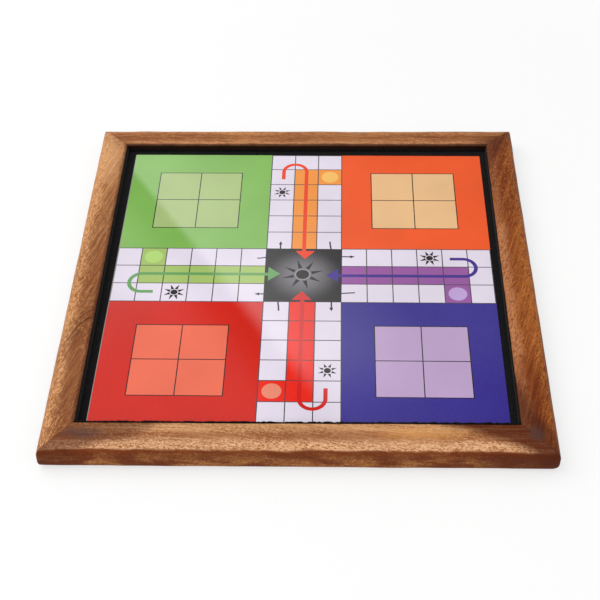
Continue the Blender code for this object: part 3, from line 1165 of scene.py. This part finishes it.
def draw_centre(lay):
    lay("centre_ink", [(-1.515, -1.5), (1.505, -1.5), (1.53, 1.5), (-1.525, 1.52)])
    x, y = -0.025, 0.03
    for ray in range(8):
        angle = math.radians(15 + 45 * ray)
        lay("centre_star", ray_outline(x, y, angle, 0.36, 0.85, 0.085))
    lay("centre_ring", disc_outline(x, y, 0.30))
    lay("centre_star", disc_outline(x, y, 0.26))


# How far the sheet's cut corners stand from a true square, in metres (x, y).
SHEET_TRIM = {
    (-1, -1): (0.00035, -0.0002),
    (1, -1): (-0.0012, -0.0002),
    (-1, 1): (0.00035, -0.0002),
    (1, 1): (-0.00065, -0.0007),
}


def trim_sheet(sheet, cell):
    """The sheet was cut by hand, so its four edges are not quite square."""
    half = PRINT_WIDTH / 2
    rim = half - 0.05 * cell
    for vertex in sheet.data.vertices:
        x, y, z = vertex.co
        move = corner_drift(SHEET_TRIM, x, y, half)
        if abs(x) > rim:
            vertex.co.x += move.x
        if abs(y) > rim:
            vertex.co.y += move.y


def make_ludo_print():
    cell = PRINT_WIDTH / LUDO_CELLS
    sheet = print_sheet("ludo_print", ludo_layers(), LUDO_INKS, cell)
    trim_sheet(sheet, cell)
    sheet.location = (*LUDO_SHIFT, LUDO_TOP)
    sheet.rotation_euler = (0, 0, LUDO_TURN)
    settle(sheet)
    hand_over(sheet, "ludo_sheet")


# The foot and top of each ladder, by square.
LADDERS = ((4, 25), (13, 46), (33, 49), (42, 63), (50, 69), (62, 81), (74, 92))

# The head and tail of each snake, by square, its colour, its waves and how far it sways.
SNAKES = (
    (27, 5, "green", 2.0, 0.34),
    (40, 3, "red", 2.5, 0.30),
    (43, 18, "blue", 2.0, 0.32),
    (54, 31, "violet", 2.0, 0.34),
    (66, 45, "green", 1.5, 0.34),
    (76, 58, "red", 1.5, 0.32),
    (89, 53, "blue", 2.5, 0.34),
    (99, 41, "violet", 3.0, 0.36),
)


def square_middle(number):
    row, column = divmod(number - 1, SNAKE_CELLS)
    if row % 2:
        column = SNAKE_CELLS - 1 - column
    return column - 4.5, row - 4.5


def number_outlines(number, x, y, size):
    """The triangles of a number's figures, with its upper left corner at x, y."""
    leave_all_alone()
    bpy.ops.object.text_add(location=(0, 0, 0))
    text = bpy.context.object
    text.data.body = str(number)
    text.data.size = size
    text.data.resolution_u = 3
    text.data.offset = 0.006
    bpy.ops.object.convert(target="MESH")
    flat = bpy.context.object
    spots = [(v.co.x, v.co.y) for v in flat.data.vertices]
    low = min(p[0] for p in spots)
    high = max(p[1] for p in spots)
    parts = []
    flat.data.calc_loop_triangles()
    for triangle in flat.data.loop_triangles:
        part = [(x + spots[i][0] - low, y + spots[i][1] - high) for i in triangle.vertices]
        if abs(signed_area(part)) > 2e-5:
            parts.append(part)
    bpy.data.objects.remove(flat, do_unlink=True)
    return parts


def course(start, end):
    """How far it is between two squares' middles, and a way to place points on that line."""
    ax, ay = square_middle(start)
    bx, by = square_middle(end)
    run = math.hypot(bx - ax, by - ay)
    ux = (bx - ax) / run
    uy = (by - ay) / run

    def at(along, aside=0.0):
        return ax + ux * along - uy * aside, ay + uy * along + ux * aside

    return run, at


def draw_ladder(lay, foot, top):
    run, at = course(foot, top)
    rungs = int(run / 0.30)
    for i in range(rungs):
        step = (i + 0.5) / rungs * run
        for part in stroke_pieces([at(step, -0.19), at(step, 0.19)], [0.07, 0.07]):
            lay("ladder_rung", part)
    for side in (-0.19, 0.19):
        for part in stroke_pieces([at(-0.12, side), at(run + 0.12, side)], [0.085, 0.085]):
            lay("ladder_rail", part)


def draw_snake(lay, head, tail, colour, waves, sway):
    run, at = course(head, tail)
    steps = int(26 * run)
    path = []
    widths = []
    for i in range(steps + 1):
        share = i / steps
        swing = sway * math.sin(2 * math.pi * waves * share) * min(1.0, 4 * share)
        path.append(at(run * share, swing))
        widths.append(0.21 * (1 - share) ** 0.6 + 0.03 if share < 0.999 else 0.01)
    for part in stroke_pieces(path, [w + 0.035 for w in widths]):
        lay("number_ink", part)
    for i, part in enumerate(stroke_pieces(path, widths)):
        banded = (i // 4) % 3 == 1
        lay(colour + ("_band" if banded else "_snake"), part)
    for side in (-1, 1):
        fork = [at(-0.18), at(-0.30), at(-0.38, 0.06 * side)]
        for part in stroke_pieces(fork, [0.03, 0.025, 0.015]):
            lay("tongue_red", part)

    def egg(length, width):
        turns = [2 * math.pi * i / 28 for i in range(28)]
        return [
            at(length * math.cos(t), width * math.sin(t) * (1 + 0.2 * math.cos(t))) for t in turns
        ]

    lay("number_ink", egg(0.235, 0.165))
    lay(colour + "_snake", egg(0.215, 0.145))
    for side in (-0.085, 0.085):
        lay("eye_white", disc_outline(*at(-0.06, side), 0.048, 14))
        lay("eye_black", disc_outline(*at(-0.072, side), 0.024, 10))


def snake_layers():
    half = SNAKE_CELLS / 2
    layers = [("board_border", box_outline(-half, -half, half, half))]
    tones = ("cream_square", "sky_square", "leaf_square", "sun_square", "rose_square")
    reach = half - 0.14
    size = 2 * reach / SNAKE_CELLS

    def lay(ink, outline):
        layers.append((ink, [(x * size, y * size) for x, y in outline]))

    edge = half + 0.02 / size
    lay("square_line", box_outline(-edge, -edge, edge, edge))
    for number in range(1, 101):
        x, y = square_middle(number)
        tone = tones[(int(x + 4.5) + 2 * int(y + 4.5)) % 5]
        lay(tone, box_outline(x - 0.485, y - 0.485, x + 0.485, y + 0.485))
        for part in number_outlines(number, x - 0.43, y + 0.43, 0.30):
            lay("number_ink", part)
    for ladder in LADDERS:
        draw_ladder(lay, *ladder)
    for snake in SNAKES:
        draw_snake(lay, *snake)
    return layers


def make_snakes_print():
    cell = PRINT_WIDTH / SNAKE_CELLS
    sheet = print_sheet("snakes_and_ladders_print", snake_layers(), SNAKE_INKS, cell)
    # Turned over about its own side-to-side line, so that it reads with the front edge lifted.
    sheet.rotation_euler = (math.pi, 0, 0)
    sheet.location = (0, 0, SNAKES_FACE)
    settle(sheet)
    hand_over(sheet, "snakes_and_ladders_sheet")


def make_filler_dab(spot, material):
    """A dab of filler over one of the pins that lock each mitre, wiped nearly flush."""
    low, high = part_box("filler_" + spot)
    middle = (low + high) / 2
    out = -1 if "left" in spot else 1
    dab = add_shape(
        "filler_dab_" + spot,
        bpy.ops.mesh.primitive_circle_add,
        vertices=24,
        radius=(high.z - low.z) / 2,
        fill_type="NGON",
        location=(out * (FRAME_HALF - DAB_DEPTH + side_lean(low.z)), middle.y, middle.z),
        rotation=(0, out * math.pi / 2, 0),
    )
    settle(dab)
    start_editing(dab, "FACE")
    choose_all()
    extrude(out * (DAB_DEPTH + 0.00002), 0, 0)
    for rise, inset in ((0.00005, 0.00018), (0.00003, 0.00030), (-0.00003, 0.00030)):
        bpy.ops.mesh.inset(thickness=inset, use_even_offset=True)
        bpy.ops.transform.translate(value=(out * rise, 0, 0))
    finish_mesh(dab, 50, material)
    hand_over(dab, "filler_" + spot)


def make_filler_dabs():
    filler = small_part_material(
        "wood_filler",
        "wood_filler_paste",
        grain=(1.8, 4.0, 0.6, 0.0),
        reach=(0.35, 0.65),
        tones=("5A3320", "8A5836"),
        rough=(0.55, 0.75),
        depth=0.0001,
    )
    for depth in ("front", "back"):
        for side in ("left", "right"):
            for index in (1, 2):
                make_filler_dab(f"{depth}_{side}_{index}", filler)


def finish_cad_nodes():
    """Pressed brown hardboard for the panel, and bright drawn wire for the pins."""
    board = small_part_material(
        "brown_hardboard",
        "pressed_fibres",
        grain=(0.9, 5.0, 0.65, 1.5),
        reach=(0.3, 0.7),
        tones=("5B3E29", "84603F"),
        rough=(0.6, 0.8),
        depth=0.0001,
    )
    steel = small_part_material(
        "drawn_steel",
        "drawn_wire",
        grain=(6.0, 3.0, 0.6, 0.0),
        reach=(0.3, 0.7),
        tones=("8C8F93", "C2C4C6"),
        rough=(0.22, 0.38),
        depth=0.00002,
        stretch=(0.15, 1, 1),
        gloss={"Metallic": 1.0},
    )
    for name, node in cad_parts.items():
        if name != "core_panel" and not name.startswith("pin_"):
            continue
        dressed = board if name == "core_panel" else steel
        if not node.data.materials:
            node.data.materials.append(dressed)
        for index in range(len(node.data.materials)):
            node.data.materials[index] = dressed


# The studio.
def make_camera():
    data = bpy.data.cameras.new("camera")
    data.lens = 74.256
    data.sensor_width = 36.0
    data.clip_start = 0.05
    data.clip_end = 20.0
    camera = add_object("camera", data)
    camera.location = (0.02098, -0.59120, 0.58463)
    camera.rotation_mode = "ZYX"
    camera.rotation_euler = (math.radians(44.711), math.radians(1.562), math.radians(0.239))
    bpy.context.scene.camera = camera


def make_floor():
    """A white table, a little glossy, far wider than the view."""
    place = (0, 0, -0.0002)
    floor = add_shape("white_table", bpy.ops.mesh.primitive_plane_add, size=8, location=place)
    material, recipe, nodes = new_material("white_table_top")
    shader = nodes["Principled BSDF"]
    shader.inputs["Base Color"].default_value = (0.93, 0.928, 0.925, 1)
    shader.inputs["Roughness"].default_value = 0.14
    shader.inputs["Specular IOR Level"].default_value = 0.25
    seen = recipe.read("ShaderNodeLightPath", "Is Camera Ray")
    away = recipe.vector("LENGTH", recipe.read("ShaderNodeTexCoord", "Object"))
    far = recipe.spread(away, 0.25, 0.75, 0.66, 1.0)
    ends = {0: seen * far, 1: Flow(recipe, shader.outputs[0])}
    ends[2] = recipe.read("ShaderNodeEmission", 0)
    surface = nodes["Material Output"].inputs["Surface"]
    recipe.put(recipe.made("ShaderNodeMixShader", ends), surface)
    floor.data.materials.append(material)


# The cards over the table: where their shared edge is, and how far they lap over it.
CARD_MIDDLE = (-0.366, 1.304, 1.011)
CARD_TURN = math.atan2(-0.548, 0.354)
CARD_LENGTH = 2.0
CARD_LAP = 0.02
BRIGHT_WIDTH = 1.2
DARK_WIDTH = 0.7


def hang_card(name, middle, width, paint):
    """A level card over the table, seen only in the gloss of the print and the wood."""
    turn = (0, 0, CARD_TURN)
    plane = bpy.ops.mesh.primitive_plane_add
    card = add_shape(name, plane, size=1, location=middle, rotation=turn)
    card.scale = (CARD_LENGTH, width, 1)
    material, recipe, nodes = new_material(name + "_glow")
    nodes.remove(nodes["Principled BSDF"])
    x, y, z = recipe.apart(recipe.read("ShaderNodeTexCoord", "Object"))
    along = x * CARD_LENGTH + CARD_LENGTH / 2
    glow = {"Strength": paint(recipe, along, y * width + width / 2)}
    surface = nodes["Material Output"].inputs["Surface"]
    recipe.put(recipe.made("ShaderNodeEmission", glow), surface)
    card.data.materials.append(material)
    card.visible_camera = False
    card.visible_diffuse = False
    card.visible_shadow = False
    card.visible_transmission = False


def paint_bright(recipe, along, aside):
    """Brightest at its straight edge, falling off away from it and towards the front.

    The edge itself is a little soft, and softer towards the front.
    """
    past = aside - CARD_LAP
    edge = recipe.spread(past, 0.0, 0.24, 2.15, 0.54, False)
    rest = recipe.spread(past, 0.24, 0.45, 0.0, -0.24, False)
    front = recipe.spread(past * -0.5 + along, 0.925, 1.125, 1.0, 0.28)
    soft = recipe.spread(along, 0.5, 0.95, 0.009, CARD_LAP)
    return (edge + rest) * front * recipe.spread(past, soft * -1.0, soft)


def paint_dark(recipe, along, aside):
    """Black beside the bright panel's edge, paler further off."""
    return recipe.spread(aside, 0.68, 0.58) * recipe.spread(along, 0.52, 0.86, 1.0, 0.45)


def make_cards():
    """A bright panel whose straight edge shows in the print, and a dark strip beside it."""
    along = Vector((math.cos(CARD_TURN), math.sin(CARD_TURN), 0))
    aside = Vector((-along.y, along.x, 0))
    middle = Vector(CARD_MIDDLE) + along * 0.6
    width = BRIGHT_WIDTH + CARD_LAP
    hang_card("bright_panel", middle + aside * (width / 2 - CARD_LAP), width, paint_bright)
    width = DARK_WIDTH - CARD_LAP
    hang_card("dark_strip", middle - aside * (width / 2 + CARD_LAP), width, paint_dark)


def add_panel_light(name, place, size, power):
    """A square lamp, aimed at the middle of the board."""
    data = bpy.data.lights.new(name, "AREA")
    data.shape = "SQUARE"
    data.size = size
    data.energy = power
    lamp = add_object(name, data)
    lamp.location = place
    lamp.rotation_euler = (-Vector(place)).to_track_quat("-Z", "Y").to_euler()


def make_light():
    add_panel_light("left_panel", (-0.9, 0.25, 1.4), 1.6, 17.0)
    add_panel_light("front_panel", (0.4, -1.3, 1.5), 1.4, 9.0)
    world = bpy.data.worlds.new("white_studio")
    world.use_nodes = True
    bpy.context.scene.world = world
    recipe = Recipe(world.node_tree)
    rays = recipe.node("ShaderNodeLightPath").outputs
    seen = Flow(recipe, rays["Is Camera Ray"])
    for kind in ("Glossy", "Transmission"):
        seen = recipe.sum("MAXIMUM", seen, Flow(recipe, rays[f"Is {kind} Ray"]))
    ground = world.node_tree.nodes["Background"]
    ground.inputs["Color"].default_value = (1, 1, 1, 1)
    recipe.put(recipe.spread(seen, 0.0, 1.0, 0.55, 1.0, False), ground.inputs["Strength"])


make_camera()
make_frame()
make_linings()
make_ludo_print()
make_snakes_print()
make_filler_dabs()
finish_cad_nodes()
make_floor()
make_cards()
make_light()
leave_all_alone()
bpy.context.scene.view_settings.view_transform = "Standard"

bpy.context.view_layer.update()
